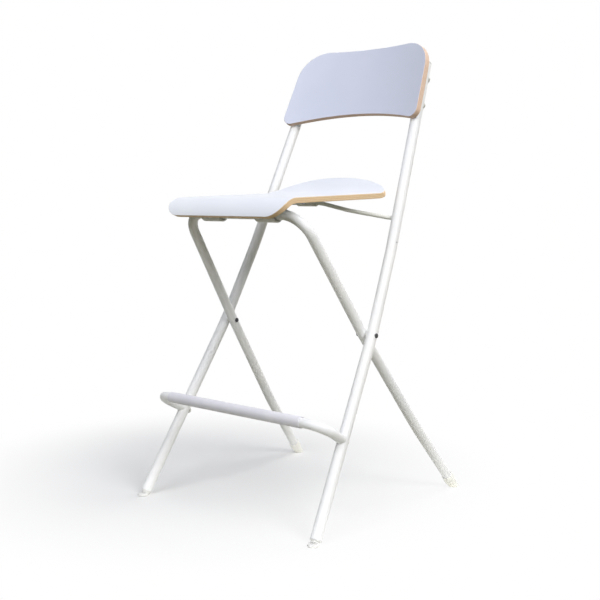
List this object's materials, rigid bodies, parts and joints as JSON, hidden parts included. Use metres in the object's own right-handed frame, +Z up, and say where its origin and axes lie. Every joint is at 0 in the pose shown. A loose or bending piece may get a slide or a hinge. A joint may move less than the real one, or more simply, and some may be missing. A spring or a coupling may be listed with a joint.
{
  "type": "folding bar stool",
  "caption": "Folding bar stool with crossed bent-tube frames, a moulded plywood seat and backrest, a U-shaped footrest and a link rod that folds the seat with the legs.",
  "frame": {"origin": "on the floor, under the middle of the stool's box as it stands open", "axes": "+Z up, the sitter faces -Y, the sitter's left is +X"},
  "size_m": [0.492, 0.51, 0.9505],
  "materials": {
    "coated_tube": "white powder coat, semi-gloss, over bent steel tube",
    "coated_steel_strap": "white powder coat over pressed steel strap",
    "link_rod": "white powder coat over round steel rod",
    "footrest_sleeve": "pale grey ribless plastic sleeve, matt",
    "seat_laminate": "layered plywood with a white laminate face and bare tan edge",
    "back_laminate": "layered plywood with a white laminate face and bare tan edge",
    "white_plastic": "moulded white plastic",
    "cream_plastic": "moulded off-white plastic",
    "dark_rivet": "dark steel rivet head",
    "zinc_fastener": "zinc-plated steel",
    "coated_fastener": "white coat over steel"
  },
  "bodies": {
    "main_frame": {"main_tube_left": "coated_tube", "tube_cap_left": "white_plastic", "front_foot_left": "white_plastic", "footrest_plug_left": "zinc_fastener", "footrest_screw_left": "coated_fastener", "pivot_rivet_left": "dark_rivet", "pivot_spacer_left": "white_plastic", "link_bush_left": "white_plastic", "backrest_screw_lower_left": "coated_fastener", "backrest_insert_lower_left": "zinc_fastener", "backrest_screw_upper_left": "coated_fastener", "backrest_insert_upper_left": "zinc_fastener", "main_tube_right": "coated_tube", "tube_cap_right": "white_plastic", "front_foot_right": "white_plastic", "footrest_plug_right": "zinc_fastener", "footrest_screw_right": "coated_fastener", "pivot_rivet_right": "dark_rivet", "pivot_spacer_right": "white_plastic", "link_bush_right": "white_plastic", "backrest_screw_lower_right": "coated_fastener", "backrest_insert_lower_right": "zinc_fastener", "backrest_screw_upper_right": "coated_fastener", "backrest_insert_upper_right": "zinc_fastener", "footrest_tube": "coated_tube", "footrest_sleeve": "footrest_sleeve", "backrest_panel": "back_laminate"},
    "rear_frame": {"rear_frame_tube": "coated_tube", "rear_foot_left": "cream_plastic", "rear_foot_right": "cream_plastic"},
    "seat": {"seat_panel": "seat_laminate", "seat_saddle_left": "white_plastic", "saddle_cap_left": "white_plastic", "rod_clamp_left": "coated_steel_strap", "saddle_screw_front_left": "zinc_fastener", "saddle_insert_front_left": "zinc_fastener", "rod_clamp_screw_front_left": "zinc_fastener", "rod_clamp_insert_front_left": "zinc_fastener", "saddle_screw_rear_left": "zinc_fastener", "saddle_insert_rear_left": "zinc_fastener", "rod_clamp_screw_rear_left": "zinc_fastener", "rod_clamp_insert_rear_left": "zinc_fastener", "seat_saddle_right": "white_plastic", "saddle_cap_right": "white_plastic", "rod_clamp_right": "coated_steel_strap", "saddle_screw_front_right": "zinc_fastener", "saddle_insert_front_right": "zinc_fastener", "rod_clamp_screw_front_right": "zinc_fastener", "rod_clamp_insert_front_right": "zinc_fastener", "saddle_screw_rear_right": "zinc_fastener", "saddle_insert_rear_right": "zinc_fastener", "rod_clamp_screw_rear_right": "zinc_fastener", "rod_clamp_insert_rear_right": "zinc_fastener"},
    "link": {"link_rod": "link_rod"}
  },
  "joints": [
    {"name": "leg_fold", "type": "hinge", "parent": "main_frame", "child": "rear_frame", "pos_m": [0, -0.02758, 0.357], "axis": [1, 0, 0], "range_deg": [-52.2, 0]},
    {"name": "seat_pivot", "type": "hinge", "parent": "rear_frame", "child": "seat", "pos_m": [0, -0.18338, 0.5925], "axis": [1, 0, 0], "range_deg": [0, 116.94]},
    {"name": "link_pivot", "type": "hinge", "parent": "seat", "child": "link", "pos_m": [0, -0.07039, 0.61303], "axis": [1, 0, 0], "range_deg": [-148.01, 0]}
  ],
  "couplings": [
    {"joint": "seat_pivot", "follows": "leg_fold", "ratio": -2.2401},
    {"joint": "link_pivot", "follows": "leg_fold", "ratio": 2.8354}
  ]
}
